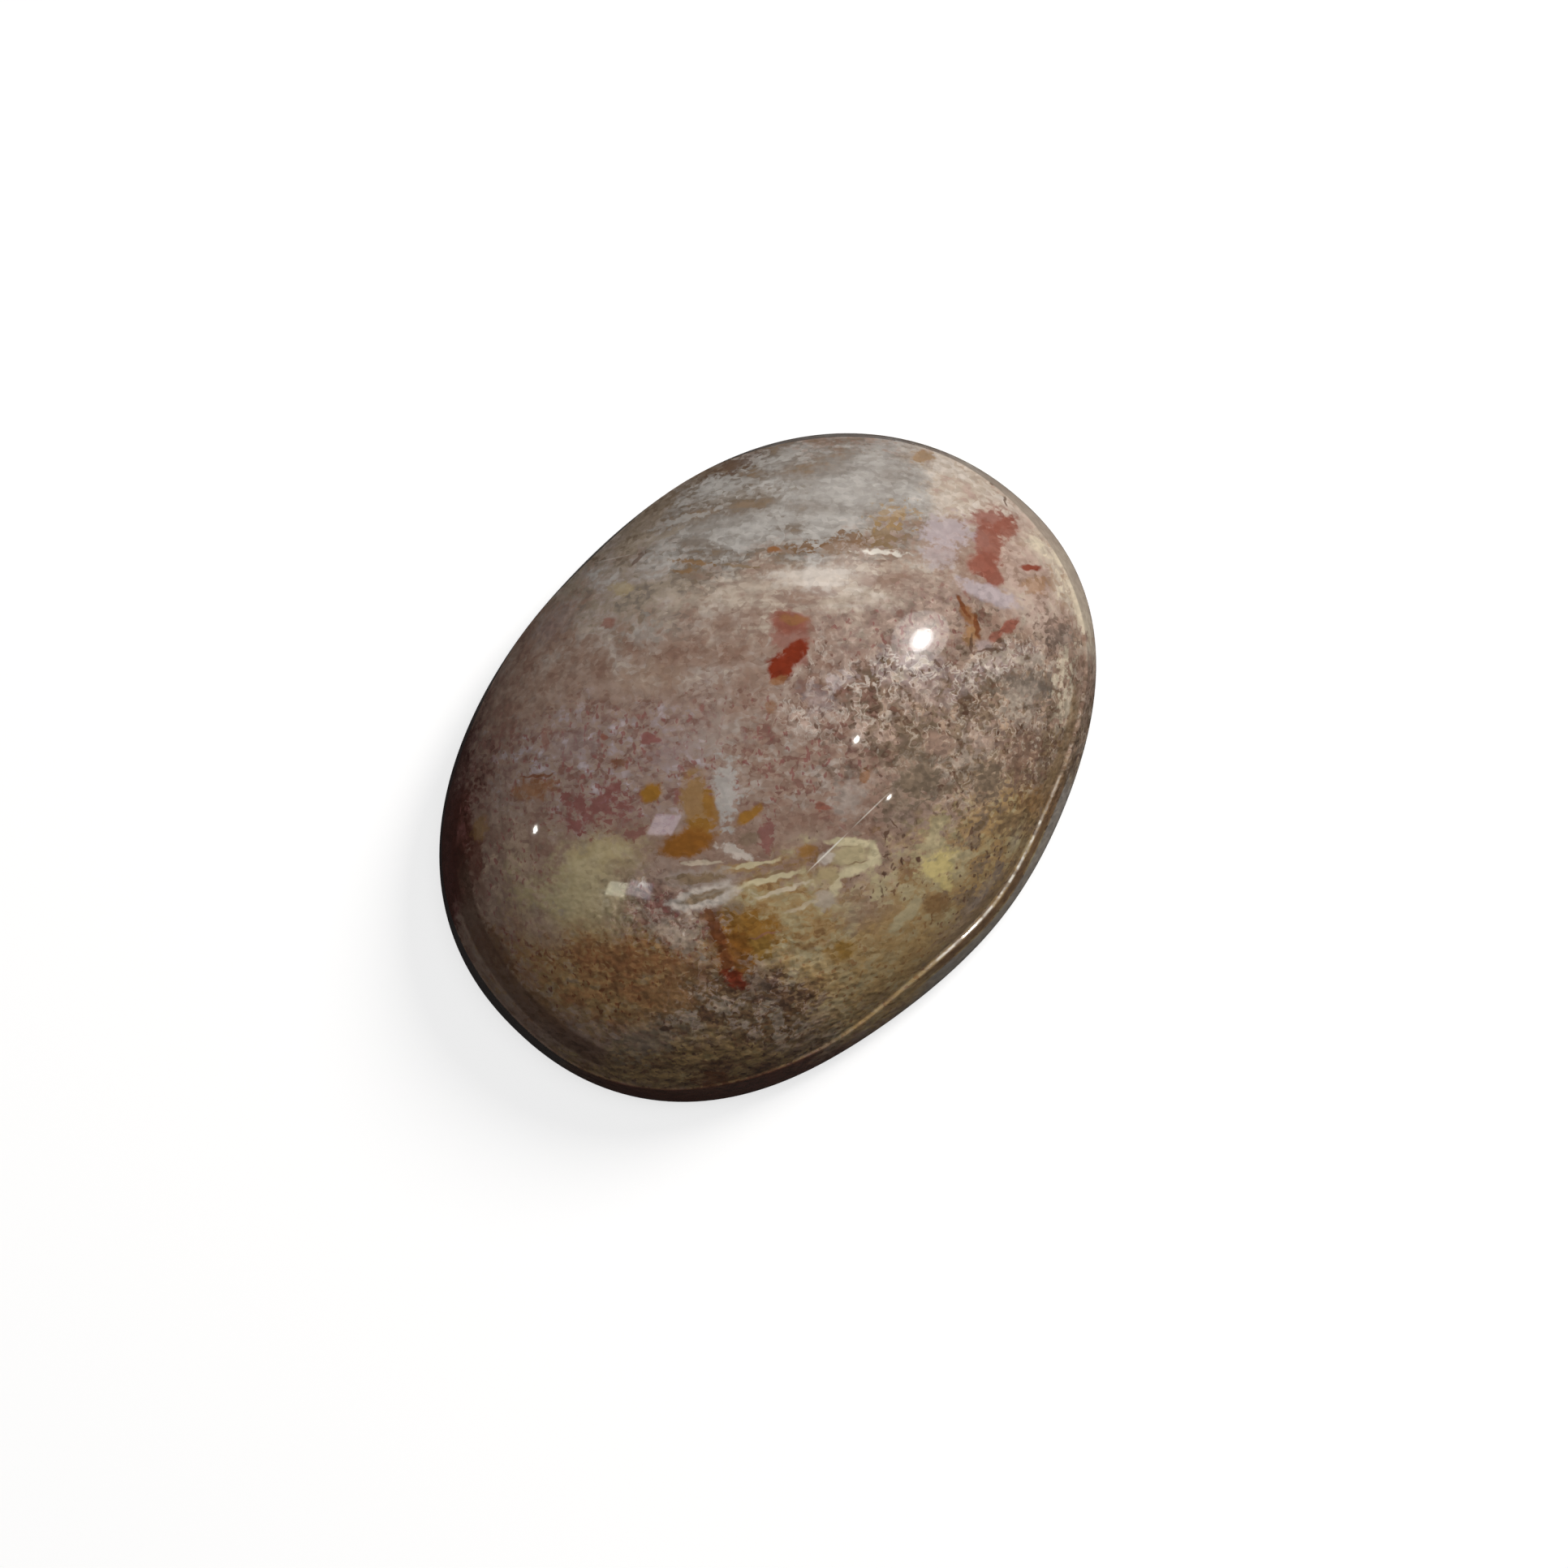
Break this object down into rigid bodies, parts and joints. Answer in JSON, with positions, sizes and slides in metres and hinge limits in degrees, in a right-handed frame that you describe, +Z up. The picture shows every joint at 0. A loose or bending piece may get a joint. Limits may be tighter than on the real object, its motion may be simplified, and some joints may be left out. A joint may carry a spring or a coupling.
{
  "type": "dendritic agate cabochon",
  "caption": "Oval polished cabochon of dendritic agate: a high smooth dome over a narrow steep wall and a flat back to set or rest it on.",
  "frame": {"origin": "middle of the flat back, on the surface that the stone lies on", "axes": "+Z up through the dome, +X along the long axis of the oval, +Y across it"},
  "size_m": [0.028, 0.021, 0.008],
  "materials": {
    "agate": "polished"
  },
  "bodies": {
    "root": {"agate_cabochon": "agate"}
  },
  "joints": []
}
